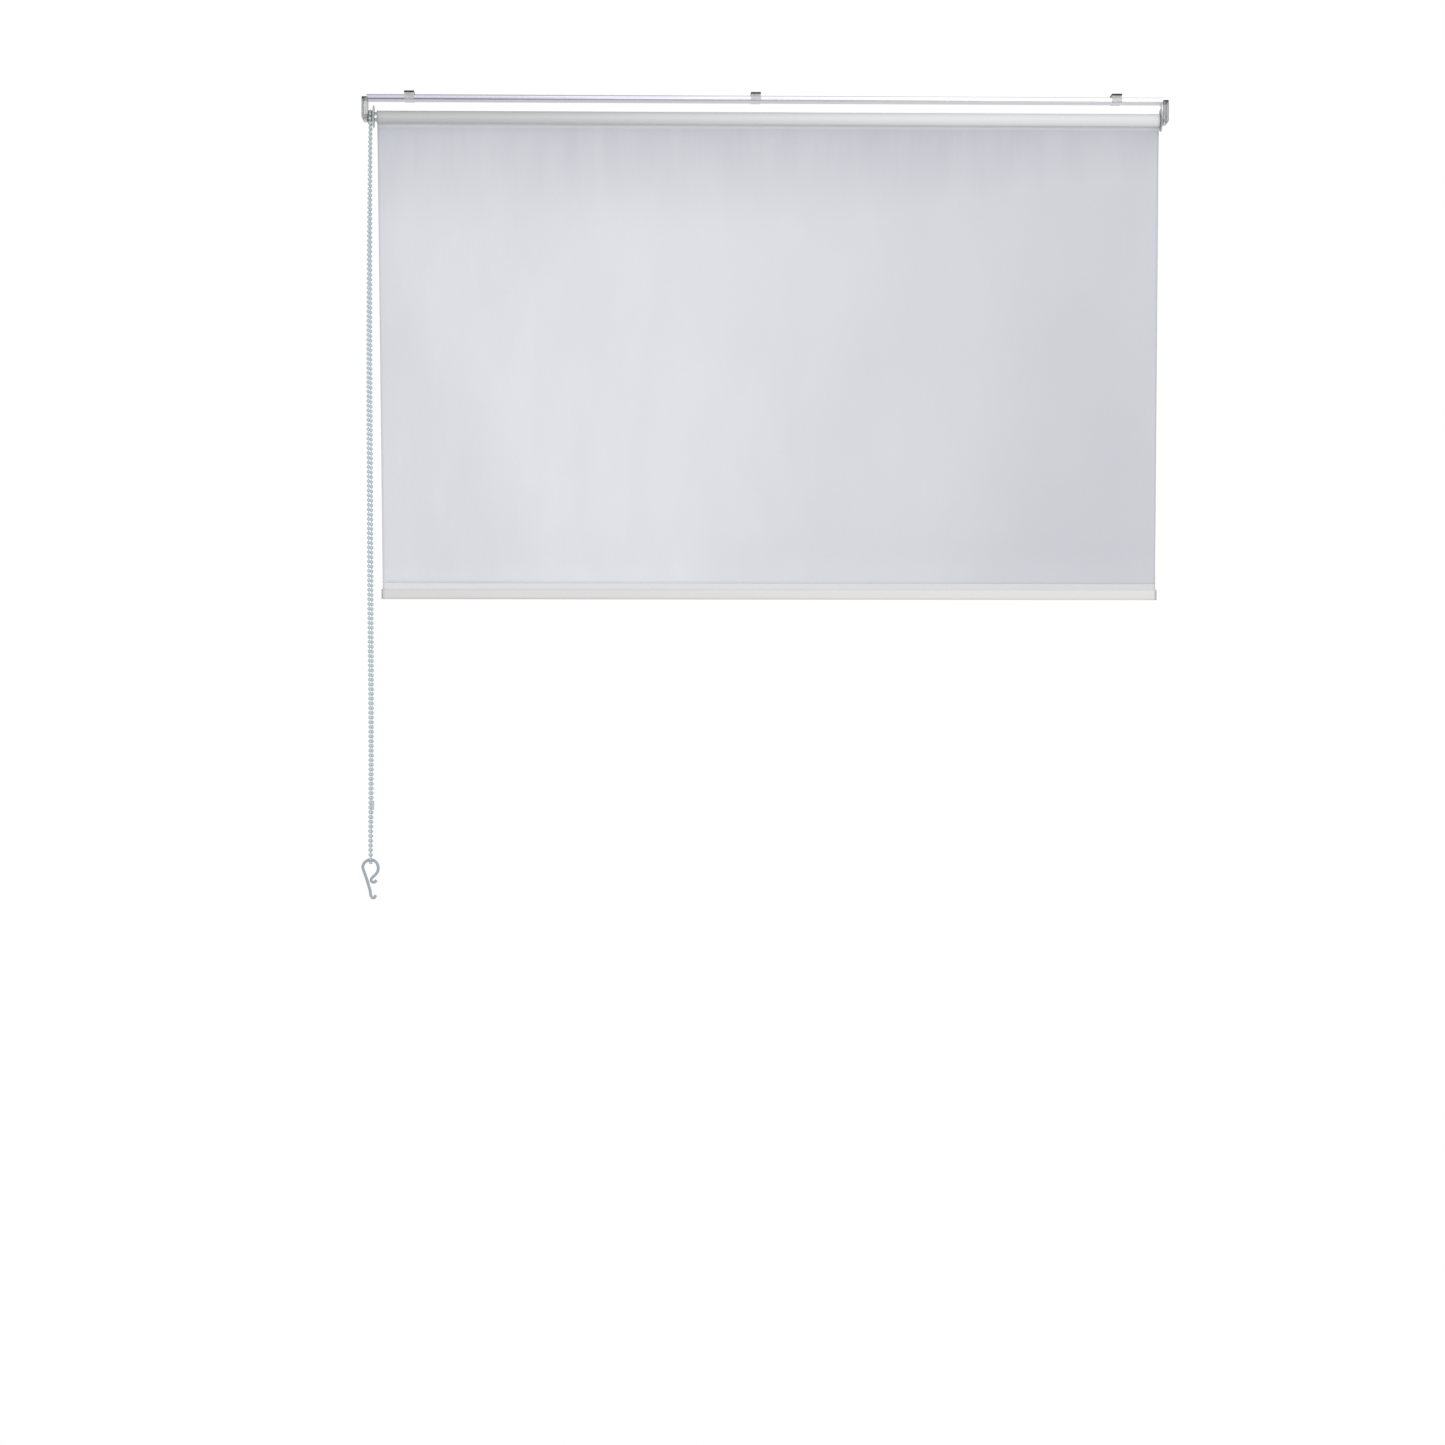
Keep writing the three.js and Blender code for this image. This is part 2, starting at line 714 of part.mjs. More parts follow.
function chainHook() {
  const crownZ = axisZ + CHAIN_LOWEST + BEAD_RADIUS + GAP + HOOK_ROD_RADIUS;
  const points = HOOK_LINE.map(([x, z]) => new THREE.Vector3(chainX + CHAIN_FOOT_X + x, 0, crownZ + z));
  return rod(new Route(points), HOOK_ROD_RADIUS, 10, 2 * (points.length - 1));
}

// ---- the blind ----

const fixed = groupOf(
  piece("head_rail", headRail(), finish.aluminium),
  piece("clip_left", ceilingClip(railLeft + CLIP_INSET_LEFT), finish.clear),
  piece("clip_middle", ceilingClip(middleClipX), finish.clear),
  piece("clip_right", ceilingClip(railRight - CLIP_INSET_RIGHT), finish.clear),
  piece("bracket_left", leftBracket(), finish.clear),
  piece("bracket_right", rightBracket(), finish.clear),
  piece("cover_left", cover(leftFace, -1), finish.clear),
  piece("cover_right", cover(rightFace, 1), finish.clear),
  piece("clutch_core", clutchCore(), finish.moulded),
);

const tubeLeft = driveDiscX + GAP;
const tubeRight = idleDiscX - GAP;
const springGap = 2;
const roller = groupOf(
  piece("roller_tube", pipe(tubeLeft, tubeRight, TUBE_RADIUS - TUBE_WALL, TUBE_RADIUS, 40), finish.steel),
  piece("fixing_tape", fixingTape(), finish.tape),
  piece("fabric_roll", pipe(filmLeft, filmRight, rollBore, WOUND_RADIUS, 48), finish.film),
  piece("chain_wheel", chainWheel(), finish.moulded),
  piece("drive_plug", drivePlug(), finish.clear),
  piece("wrap_spring_outer", wrapSpring(driveDiscX + springGap), finish.steel),
  piece("wrap_spring_inner", wrapSpring(driveDiscX + 2 * springGap + WRAP_SPRING_LENGTH), finish.steel),
  piece("idle_plug", idlePlug(), finish.clear),
  piece("idle_spring", idleSpring(), finish.steel),
);

const retractingPin = groupOf(piece("idle_pin", idlePin(), finish.steel));

const bottom = groupOf(
  piece("fabric_sheet", fabricSheet(), finish.film),
  piece("hem_pocket", hemPocket(), finish.bar),
  piece("bottom_bar", bottomBar(), finish.bar),
  piece("bar_cap_left", barCap(hemLeft, -1), finish.clear),
  piece("bar_cap_right", barCap(hemRight, 1), finish.clear),
);

const chain = groupOf(
  piece("bead_chain", beadChain(), finish.bead),
  piece("chain_connector", chainConnector(), finish.clear),
);

const hook = groupOf(piece("chain_hook", chainHook(), finish.bead));

const rollerBlind = groupOf(fixed, roller, retractingPin, bottom, chain, hook);
rollerBlind.position.x = -middleClipX;

export default rollerBlind;
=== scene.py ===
"""Looks for the roller blind: materials, light and camera round the CAD parts.

The hanging film, wound roll, hem, bead chain and end spring are made here as meshes, and stand in for
the CAD parts of the same kind.
"""

import json
import math

import bpy
import numpy as np
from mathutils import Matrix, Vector


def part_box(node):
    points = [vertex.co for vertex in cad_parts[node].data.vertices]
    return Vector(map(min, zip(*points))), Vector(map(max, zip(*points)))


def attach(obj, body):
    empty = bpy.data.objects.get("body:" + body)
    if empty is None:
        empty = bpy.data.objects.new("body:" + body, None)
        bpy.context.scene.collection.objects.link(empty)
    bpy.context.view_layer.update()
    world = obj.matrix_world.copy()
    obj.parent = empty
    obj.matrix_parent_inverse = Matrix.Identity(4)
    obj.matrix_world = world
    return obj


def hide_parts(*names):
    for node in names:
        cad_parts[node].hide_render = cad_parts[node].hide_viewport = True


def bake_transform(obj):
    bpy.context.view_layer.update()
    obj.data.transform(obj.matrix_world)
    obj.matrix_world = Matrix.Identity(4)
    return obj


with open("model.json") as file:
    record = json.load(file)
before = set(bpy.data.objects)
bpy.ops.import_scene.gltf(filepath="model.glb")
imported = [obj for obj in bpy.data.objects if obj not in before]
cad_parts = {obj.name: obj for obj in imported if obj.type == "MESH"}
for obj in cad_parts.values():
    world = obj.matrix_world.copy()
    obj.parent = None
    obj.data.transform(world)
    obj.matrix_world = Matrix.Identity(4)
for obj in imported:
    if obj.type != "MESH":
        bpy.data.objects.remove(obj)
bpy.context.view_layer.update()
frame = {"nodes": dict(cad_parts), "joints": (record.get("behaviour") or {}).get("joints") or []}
MM = 0.001


# ---------------------------------------------------------------- places taken from the CAD

def span(node):
    low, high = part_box(node)
    return np.array(low, float), np.array(high, float)


roll_low, roll_high = span("fabric_roll")
sheet_low, sheet_high = span("fabric_sheet")
hem_low, hem_high = span("hem_pocket")
wheel_low, wheel_high = span("chain_wheel")
spring_low, spring_high = span("idle_spring")

joints = {j["name"]: j for j in frame["joints"]}
AXIS_Z = joints["roller_spin"]["pos_m"][2]
CHAIN_X = float(wheel_low[0] + wheel_high[0]) / 2
FILM_LEFT, FILM_RIGHT = float(roll_low[0]), float(roll_high[0])
HEM_LEFT, HEM_RIGHT = float(hem_low[0]), float(hem_high[0])
FILM_Y = float(sheet_low[1] + sheet_high[1]) / 2
ROLL_RADIUS = float(roll_high[2] - roll_low[2]) / 2
RAIL_FOOT, RAIL_TOP = (float(corner[2]) for corner in span("head_rail"))
HEM_TOP, HEM_FOOT = float(hem_high[2]), float(hem_low[2])
HEM_DEPTH = float(hem_high[1] - hem_low[1])

BEAD_DIAMETER = 4.5 * MM
BEAD_PITCH = 6 * MM
STRING_RADIUS = 0.45 * MM
FILM_THICKNESS = 0.12 * MM
CLIP_PLATE_FOOT = -2.4 * MM  # underside of the clips' top plates
REBATE_LINE = 1.3 * MM  # height above the rail's foot of its step, where a painted shadow line is drawn
RAIL_LAP = 1 * MM  # how far the ends reach over the rail
WELD_FOOT = 6.2 * MM  # depth of the welded strip below the hem's top
HEM_TAIL = 6.5 * MM  # length of the two layers that join above the bar
TAIL_TURN = 0.28  # radians from upright where the film leaves the tail for the bar


# ---------------------------------------------------------------- camera

TARGET = Vector((-0.042, FILM_Y, -0.8029))
DISTANCE = 5.1147
AZIMUTH, ELEVATION = math.radians(-1.54), math.radians(-1.1)
offset = Vector((
    math.sin(AZIMUTH) * math.cos(ELEVATION),
    -math.cos(AZIMUTH) * math.cos(ELEVATION),
    math.sin(ELEVATION),
))
camera = bpy.data.objects.new("camera", bpy.data.cameras.new("camera"))
camera.data.lens = 100
camera.data.sensor_width = 36
camera.data.clip_end = 50
camera.location = TARGET + DISTANCE * offset
camera.rotation_euler = (-offset).to_track_quat("-Z", "Y").to_euler()
bpy.context.collection.objects.link(camera)
bpy.context.scene.camera = camera


# ---------------------------------------------------------------- materials

class Nodes:
    """A short way to write a node material."""

    def __init__(self, name, **settings):
        self.material = bpy.data.materials.new(name)
        self.material.use_nodes = True
        self.tree = self.material.node_tree
        self.shader = self.tree.nodes["Principled BSDF"]
        for socket, value in settings.items():
            self.shader.inputs[socket.replace("_", " ")].default_value = value
        texture = self.tree.nodes.new("ShaderNodeTexCoord")
        self.coordinates, self.normal = texture.outputs["Object"], texture.outputs["Normal"]

    def add(self, kind, inputs=None, **properties):
        node = self.tree.nodes.new(kind)
        for key, value in properties.items():
            setattr(node, key, value)
        for key, value in (inputs or {}).items():
            if isinstance(value, bpy.types.NodeSocket):
                self.tree.links.new(value, node.inputs[key])
            else:
                node.inputs[key].default_value = value
        return node

    def scaled(self, scale):
        return self.add("ShaderNodeMapping", {"Vector": self.coordinates, "Scale": scale}).outputs["Vector"]

    def noise(self, scale, detail=3, stretch=(1, 1, 1), roughness=0.5):
        inputs = {"Vector": self.scaled(stretch), "Scale": scale, "Detail": detail, "Roughness": roughness}
        return self.add("ShaderNodeTexNoise", inputs).outputs["Fac"]

    def ramp(self, value, low, high, a=0.0, b=1.0, smooth=True):
        inputs = {"Value": value, "From Min": low, "From Max": high, "To Min": a, "To Max": b}
        kind = "SMOOTHSTEP" if smooth else "LINEAR"
        return self.add("ShaderNodeMapRange", inputs, interpolation_type=kind).outputs["Result"]

    def along(self, axis):
        return self.add("ShaderNodeSeparateXYZ", {"Vector": self.coordinates}).outputs[axis]

    def edge_on(self, axis, sign=0):
        """1 on faces that lie along the axis, 0 on those that face it; with a sign, 1 on those facing it."""
        turn = self.add("ShaderNodeSeparateXYZ", {"Vector": self.normal}).outputs[axis]
        if sign:
            return self.ramp(self.math("MULTIPLY", turn, sign), 0.5, 0.9)
        return self.ramp(self.math("ABSOLUTE", turn), 0.5, 0.9, 1.0, 0.0)

    def math(self, operation, a, b=0.0):
        return self.add("ShaderNodeMath", {0: a, 1: b}, operation=operation).outputs[0]

    def blend(self, factor, a, b):
        node = self.add("ShaderNodeMix", {"Factor": factor}, data_type="RGBA")
        for socket, value in ((node.inputs[6], a), (node.inputs[7], b)):
            if isinstance(value, bpy.types.NodeSocket):
                self.tree.links.new(value, socket)
            else:
                socket.default_value = (*value, 1)
        return node.outputs[2]

    def colour(self, value):
        self.tree.links.new(value, self.shader.inputs["Base Color"])

    def rough(self, value):
        self.tree.links.new(value, self.shader.inputs["Roughness"])

    def bump(self, height, strength, distance):
        inputs = {"Height": height, "Strength": strength, "Distance": distance}
        normal = self.add("ShaderNodeBump", inputs).outputs["Normal"]
        self.tree.links.new(normal, self.shader.inputs["Normal"])


def anodised(name):
    """Drawn aluminium with a satin anodised skin: fine die lines that run along X. Its colour holds painted
    light: lighter to the right, a lighter underside, and dark shadow lines at the step and the top edge.
    """
    m = Nodes(name, Metallic=0.85, Roughness=0.34)
    lines = m.noise(900, 4, (0.004, 1, 1))
    # painted light: the colour runs from dark at the left to light at the right, with a little random mottle
    across = m.ramp(m.along("X"), -0.48, 0.5)
    painted_light_and_patches = m.math("ADD", across, m.math("MULTIPLY", m.noise(9, 2, (0.3, 1, 1)), 0.08))
    body = m.blend(painted_light_and_patches, (0.4, 0.39, 0.45), (0.8, 0.79, 0.83))
    # painted reflection: faces turned down are drawn lighter
    painted_lit_underside = m.blend(m.math("MULTIPLY", m.edge_on("Z", -1.0), 0.8), body, (0.88, 0.87, 0.93))
    z = m.along("Z")
    # painted shadow: a dark line at the rail's step and a dark band at its top edge, fainter to the right
    from_step = m.math("ABSOLUTE", m.math("SUBTRACT", z, RAIL_FOOT + REBATE_LINE))
    step = m.ramp(from_step, 0.5 * MM, 1.0 * MM, 0.9, 0.0)
    brow = m.ramp(z, RAIL_TOP - 1.2 * MM, RAIL_TOP - 0.7 * MM, 0.0, 0.6)
    painted_shadow_lines = m.math("MULTIPLY", m.math("MAXIMUM", step, brow), m.ramp(across, 0.0, 1.0, 1.0, 0.35))
    m.colour(m.blend(painted_shadow_lines, painted_lit_underside, (0.2, 0.19, 0.23)))
    m.rough(m.ramp(lines, 0.3, 0.7, 0.27, 0.4))
    m.bump(lines, 0.12, 0.0002)
    return m.material


def brushed(name, tint):
    m = Nodes(name, Metallic=1.0, Roughness=0.3)
    grain = m.noise(1400, 4, (1, 0.15, 0.15))
    m.colour(m.blend(grain, tuple(0.85 * c for c in tint), tint))
    m.rough(m.ramp(grain, 0.3, 0.7, 0.22, 0.38))
    m.bump(grain, 0.1, 0.0001)
    return m.material


def clear_plastic(name, tint, edge, opacity, dark_above=None, dark_lines=(), corner=None):
    """Clear moulding with painted shade where light bends in it: dark at its rounded edges, and where it is
    seen through a plate or a wall edge-on.
    """
    m = Nodes(name, Roughness=0.12, IOR=1.49)
    flow = m.noise(260, 3)
    body = m.blend(m.ramp(flow, 0.35, 0.65), tint, tuple(0.95 * c for c in tint))
    # painted shade: darker where the surface is seen at a glancing angle
    facing = m.add("ShaderNodeLayerWeight", {"Blend": 0.35}).outputs["Facing"]
    dark = m.ramp(facing, 0.45, 0.95)
    if dark_above is not None:
        # painted shade: the plate above dark_above is drawn dark on its side faces
        plate = m.ramp(m.along("Z"), dark_above - 0.3 * MM, dark_above + 0.1 * MM)
        dark = m.math("MAXIMUM", dark, m.math("MULTIPLY", plate, m.edge_on("Z")))
    for place, width in dark_lines:
        # painted shade: dark lines along X on walls seen edge-on
        away = m.math("ABSOLUTE", m.math("SUBTRACT", m.along("X"), place))
        line = m.ramp(away, 0.6 * width, width, 0.85, 0.0)
        dark = m.math("MAXIMUM", dark, m.math("MULTIPLY", line, m.edge_on("X")))
    if corner is not None:
        outer, top, inward = corner
        # darker at the upper outer corner, on faces seen edge-on
        depth = m.math("SUBTRACT", top, m.along("Z"))
        reach = m.math("MULTIPLY", m.math("SUBTRACT", m.along("X"), outer), inward)
        into = m.math("ADD", depth, m.math("MULTIPLY", reach, 0.45))
        darker_corner = m.ramp(into, 3.4 * MM, 4 * MM, 1.0, 0.0)
        dark = m.math("MAXIMUM", dark, m.math("MULTIPLY", darker_corner, m.edge_on("X")))
    m.colour(m.blend(dark, body, edge))
    m.tree.links.new(m.ramp(dark, 0.0, 1.0, opacity, 1.0), m.shader.inputs["Alpha"])
    m.tree.links.new(m.ramp(dark, 0.0, 1.0, 0.3, 0.03), m.shader.inputs["Specular IOR Level"])
    m.rough(m.ramp(flow, 0.3, 0.7, 0.08, 0.18))
    m.bump(flow, 0.06, 0.0002)
    return m.material


def moulded(name, tint):
    m = Nodes(name, Roughness=0.5)
    grain = m.noise(2200, 2)
    cloud = m.noise(140, 3)
    m.colour(m.blend(cloud, tuple(0.86 * c for c in tint), tint))
    m.rough(m.ramp(grain, 0.3, 0.7, 0.42, 0.58))
    m.bump(grain, 0.2, 0.0001)
    return m.material


def beaded(name, light, deep, rim):
    """Bluish milky plastic of the beads and the hook, with a painted dark rim where the surface turns away
    from view.
    """
    m = Nodes(name, Roughness=0.2, IOR=1.5, Coat_Weight=0.2, Coat_Roughness=0.1)
    cloud = m.noise(420, 3)
    facing = m.add("ShaderNodeLayerWeight", {"Blend": 0.3}).outputs["Facing"]
    # painted shade: the rim colour darkens the surface seen at a glancing angle
    m.colour(m.blend(m.ramp(facing, 0.15, 0.75), m.blend(cloud, deep, light), rim))
    m.rough(m.ramp(cloud, 0.3, 0.7, 0.14, 0.26))
    m.bump(cloud, 0.08, 0.0002)
    return m.material


FILM_LIGHT = (0.74, 0.75, 0.795)
FILM_DARK = (0.69, 0.70, 0.75)
# colour of the film's painted shade
FILM_PAINTED_SHADE = (0.54, 0.55, 0.605)


def film(name, fold=0.5):
    """Pale lavender-grey film: soft gloss and faint creases, with painted shade in its top hand's breadth
    under the roll and towards the right, and a painted light band just under the roll.
    """
    m = Nodes(name, Roughness=0.42, IOR=1.45, Coat_Weight=0.12, Coat_Roughness=0.3)
    cloud = m.noise(3.2, 3, (1, 1, 0.6))
    creases = m.noise(26, 5, (1, 1, 0.25), 0.6)
    streaks = m.noise(34, 4, (1, 1, 0.12), 0.6)
    skin = m.noise(1500, 2)
    below = m.math("SUBTRACT", AXIS_Z, m.along("Z"))
    # painted shade: darker in the top 160 mm, where the roll shades the film, broken by streaks
    deep = m.math("MULTIPLY", m.ramp(below, 0.0, 0.16, 0.75, 0.0), m.ramp(streaks, 0.3, 0.7, 0.75, 1.0))
    # painted shade: darker towards the right edge
    right = m.ramp(m.along("X"), 0.0, 0.5, 0.0, 0.35)
    body = m.blend(m.ramp(cloud, 0.35, 0.65), FILM_DARK, FILM_LIGHT)
    tone_and_shade = m.blend(m.math("MAXIMUM", deep, right), body, FILM_PAINTED_SHADE)
    # painted light: a lighter band 9 to 13 mm below the roll's axis, just under the roll
    m.colour(m.blend(m.ramp(below, 0.009, 0.013, 0.8, 0.0), tone_and_shade, (0.8, 0.805, 0.83)))
    m.rough(m.ramp(creases, 0.35, 0.65, 0.38, 0.46))
    height = m.math("ADD", m.math("MULTIPLY", creases, 1.0), m.math("MULTIPLY", skin, 0.02))
    m.bump(height, fold, 0.0012)
    return m.material


def wound(name):
    """The film on the roll, over the tube, with painted shade: darker to the left, at the drive end, and
    lighter to the right.
    """
    m = Nodes(name, Roughness=0.42, IOR=1.45, Coat_Weight=0.12, Coat_Roughness=0.3)
    # painted light: dark at the left to light at the right, with a little random cloud
    across = m.ramp(m.along("X"), -0.52, 0.35)
    cloud = m.noise(12, 4, (0.3, 1, 1))
    tone_and_shade = m.math("ADD", across, m.math("MULTIPLY", m.math("SUBTRACT", cloud, 0.5), 0.12))
    m.colour(m.blend(tone_and_shade, (0.56, 0.56, 0.565), (0.85, 0.855, 0.865)))
    m.rough(m.ramp(cloud, 0.35, 0.65, 0.38, 0.46))
    m.bump(cloud, 0.2, 0.0008)
    return m.material


def hem_film(name):
    """The film round the bar: a welded strip of small ribs above, and the beige bar showing through below,
    painted darker to the left and lighter to the right as painted light.
    """
    m = Nodes(name, Roughness=0.45, IOR=1.45)
    z = m.along("Z")
    cloud = m.noise(30, 4, (0.3, 1, 1))
    strip = m.blend(cloud, (0.74, 0.74, 0.765), (0.8, 0.8, 0.825))
    # painted light: the bar shows darker at the left and lighter at the right
    across = m.ramp(m.along("X"), -0.48, 0.5)
    bar = m.blend(across, (0.72, 0.70, 0.70), (0.84, 0.825, 0.82))
    m.colour(m.blend(m.ramp(z, HEM_TOP - 7.8 * MM, HEM_TOP - WELD_FOOT), bar, strip))
    wave = m.add("ShaderNodeTexWave", {"Vector": m.coordinates, "Scale": 240.0, "Distortion": 0.4},
                 bands_direction="X").outputs["Fac"]
    weld = m.math("MULTIPLY", wave, m.ramp(z, HEM_TOP - WELD_FOOT, HEM_TOP - 5.2 * MM))
    m.rough(m.ramp(cloud, 0.3, 0.7, 0.38, 0.5))
    m.bump(m.math("ADD", m.math("MULTIPLY", weld, 0.5), cloud), 0.3, 0.0004)
    return m.material


def tape(name):
    m = Nodes(name, Roughness=0.7)
    grain = m.noise(300, 3)
    m.colour(m.blend(grain, (0.74, 0.7, 0.6), (0.82, 0.79, 0.7)))
    m.bump(grain, 0.2, 0.0001)
    return m.material


CLEAR = (0.86, 0.88, 0.89)
EDGE = (0.012, 0.014, 0.016)


def end_lines(cover, side):
    """Painted shade lines along X at an end, where its walls are seen edge-on: the rim by the roll, which
    laps the rail's end, and the outer face.
    """
    rim = span("head_rail")[side][0] + (RAIL_LAP if side == 0 else -RAIL_LAP)
    return [(float(rim), 0.8 * MM), (float(span(cover)[side][0]), 1.1 * MM)]


def end_corner(cover, side):
    """The upper outer corner of an end, which is drawn darker: its place in X and Z, and which way along X is
    inward.
    """
    return float(span(cover)[side][0]), float(span(cover)[1][2]), 1.0 - 2.0 * side


rail_material = anodised("rail_anodised")
steel_material = brushed("zinc_steel", (0.66, 0.67, 0.68))
left_end_material = clear_plastic(
    "clear_left_end", CLEAR, EDGE, 0.2,
    dark_lines=end_lines("cover_left", 0), corner=end_corner("cover_left", 0))
right_end_material = clear_plastic(
    "clear_right_end", CLEAR, EDGE, 0.12,
    dark_lines=end_lines("cover_right", 1), corner=end_corner("cover_right", 1))
disc_material = clear_plastic("clear_disc", (0.7, 0.74, 0.75), EDGE, 0.62)
cap_material = clear_plastic("clear_cap", (0.72, 0.73, 0.74), (0.2, 0.2, 0.22), 0.75)
clip_material = clear_plastic(
    "clear_clip", (0.74, 0.78, 0.76), (0.008, 0.009, 0.009), 0.36, dark_above=CLIP_PLATE_FOOT)
wheel_material = moulded("wheel_moulded", (0.47, 0.43, 0.41))
bar_material = moulded("bar_moulded", (0.72, 0.69, 0.67))
bead_material = beaded("milky_blue", (0.6, 0.72, 0.77), (0.48, 0.61, 0.67), (0.1, 0.16, 0.2))
hook_material = beaded("hook_blue_grey", (0.44, 0.5, 0.57), (0.36, 0.42, 0.49), (0.12, 0.15, 0.19))
film_material = film("film")
roll_material = wound("film_wound")
hem_material = hem_film("film_hem")
tape_material = tape("fixing_tape")

CAD_MATERIALS = {
    "head_rail": rail_material,
    "roller_tube": steel_material,
    "wrap_spring_outer": steel_material,
    "wrap_spring_inner": steel_material,
    "idle_spring": steel_material,
    "idle_pin": steel_material,
    "clip_left": clip_material,
    "clip_middle": clip_material,
    "clip_right": clip_material,
    "bracket_left": left_end_material,
    "bracket_right": right_end_material,
    "cover_left": left_end_material,
    "cover_right": right_end_material,
    "drive_plug": disc_material,
    "idle_plug": disc_material,
    "bar_cap_left": cap_material,
    "bar_cap_right": cap_material,
    "chain_connector": bead_material,
    "clutch_core": wheel_material,
    "chain_wheel": wheel_material,
    "bottom_bar": bar_material,
    "chain_hook": hook_material,
    "fixing_tape": tape_material,
    "fabric_roll": roll_material,
    "fabric_sheet": film_material,
    "hem_pocket": hem_material,
    "bead_chain": bead_material,
}
for node, material in CAD_MATERIALS.items():
    frame["nodes"][node].data.materials.clear()
    frame["nodes"][node].data.materials.append(material)


# ---------------------------------------------------------------- mesh helpers

def mesh_object(name, points, faces, material, smooth=True):
    mesh = bpy.data.meshes.new(name)
    mesh.from_pydata([tuple(p) for p in points], [], [tuple(int(i) for i in f) for f in faces])
    mesh.validate()
    mesh.materials.append(material)
    mesh.polygons.foreach_set("use_smooth", [smooth] * len(mesh.polygons))
    obj = bpy.data.objects.new(name, mesh)
    bpy.context.collection.objects.link(obj)
    return obj


def grid_faces(rows, columns, start=0, close_columns=False, flip=False):
    """Quads of a grid of points stored row by row."""
    last = columns if close_columns else columns - 1
    i, j = np.meshgrid(np.arange(rows - 1), np.arange(last), indexing="ij")
    k = (j + 1) % columns
    quads = np.stack([i * columns + j, i * columns + k, (i + 1) * columns + k, (i + 1) * columns + j], -1)
    quads = quads.reshape(-1, 4) + start
    return quads[:, ::-1] if flip else quads


def ripple(x, seed, waves, low, high):
    """A smooth, fixed sum of sine waves in x, between -1 and 1, with wavelengths from low to high metres."""
    rng = np.random.default_rng(seed)
    lengths = rng.uniform(low, high, waves)
    phases = rng.uniform(0, 2 * math.pi, waves)
    weights = rng.uniform(0.5, 1, waves)
    total = sum(w * np.sin(2 * math.pi * x / l + p) for w, l, p in zip(weights, lengths, phases))
    return total / weights.sum()


def frames_along(line):
    """At each point, two directions across the line, from X and the line's own direction."""
    ahead = np.gradient(line, axis=0)
    ahead /= np.linalg.norm(ahead, axis=1)[:, None]
    side = np.tile([1.0, 0, 0], (len(line), 1))
    side -= (side * ahead).sum(1)[:, None] * ahead
    side /= np.linalg.norm(side, axis=1)[:, None]
    return ahead, side, np.cross(ahead, side)


def tube(line, radius, sides, start=0):
    """Points and faces of a round bar along the line, closed at both ends."""
    _, side, up = frames_along(line)
    angles = np.linspace(0, 2 * math.pi, sides, endpoint=False)
    across = np.cos(angles)[None, :, None] * side[:, None]
    ring = radius * (across + np.sin(angles)[None, :, None] * up[:, None])
    faces = [tuple(f) for f in grid_faces(len(line), sides, start=start, close_columns=True)]
    faces.append(tuple(start + i for i in range(sides)))
    faces.append(tuple(start + (len(line) - 1) * sides + i for i in range(sides))[::-1])
    return (line[:, None] + ring).reshape(-1, 3), faces


# ---------------------------------------------------------------- hanging film

def film_offset(x, z):
    """How far the hanging film stands in front of or behind its flat place, in metres.
    u runs from 0 at the left edge to 1 at the right, and d is the distance below the roll."""
    u = (x - FILM_LEFT) / (FILM_RIGHT - FILM_LEFT)
    d = AXIS_Z - z
    drop = AXIS_Z - HEM_TOP
    v = d / drop
    held = np.clip(d / 0.03, 0, 1) * np.clip((drop - d) / 0.02, 0, 1)
    short = 0.35 * ripple(x + 0.10 * v, 3, 6, 0.05, 0.11) * np.exp(-d / 0.09)
    from_left = 0.9 * ripple(x - 0.34 * d, 5, 5, 0.11, 0.3) * np.clip(1.1 - u, 0, 1) * np.exp(-d / 0.5)
    from_right = 0.7 * ripple(x + 0.30 * d, 8, 5, 0.12, 0.3) * np.clip(u, 0, 1) * np.exp(-d / 0.4)
    belly = 1.6 * np.sin(math.pi * v) * (0.4 + 0.6 * np.sin(math.pi * u))
    above_hem = 0.8 * np.exp(-(((drop - d) - 0.035) / 0.02) ** 2) * np.clip((u - 0.25) * 2, 0, 1)
    bow = 1.3 + short + from_left + from_right + belly + above_hem
    return MM * held * np.maximum(bow, -0.2)


def hanging_film():
    columns, rows = 220, 130
    u = np.linspace(0, 1, columns)
    z = np.linspace(AXIS_Z, HEM_TOP + 0.0003, rows)
    grid_u, grid_z = np.meshgrid(u, z)
    down = (AXIS_Z - grid_z) / (AXIS_Z - HEM_TOP)
    left = FILM_LEFT + (HEM_LEFT - FILM_LEFT) * down
    right = FILM_RIGHT + (HEM_RIGHT - FILM_RIGHT) * down
    grid_x = left + (right - left) * grid_u
    y = FILM_Y + film_offset(grid_x, grid_z)
    lean = np.clip((AXIS_Z - grid_z) / 0.05, 0, 1)
    y -= (FILM_Y - ROLL_RADIUS - 0.0001) * (1 - lean)
    half = FILM_THICKNESS / 2
    front = np.stack([grid_x, y - half, grid_z], -1).reshape(-1, 3)
    back = np.stack([grid_x, y + half, grid_z], -1).reshape(-1, 3)
    count = len(front)
    rim = np.concatenate([
        np.arange(columns),
        np.arange(1, rows) * columns + columns - 1,
        (rows - 1) * columns + np.arange(columns - 2, -1, -1),
        np.arange(rows - 2, 0, -1) * columns,
    ])
    after = np.roll(rim, -1)
    edge = np.stack([rim, rim + count, after + count, after], -1)
    faces = np.concatenate([
        grid_faces(rows, columns, flip=True),
        grid_faces(rows, columns, start=count),
        edge,
    ])
    return mesh_object("hanging_film", np.concatenate([front, back]), faces, film_material)


sheet = hanging_film()
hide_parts("fabric_sheet")
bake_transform(sheet)


# ---------------------------------------------------------------- film on the roller

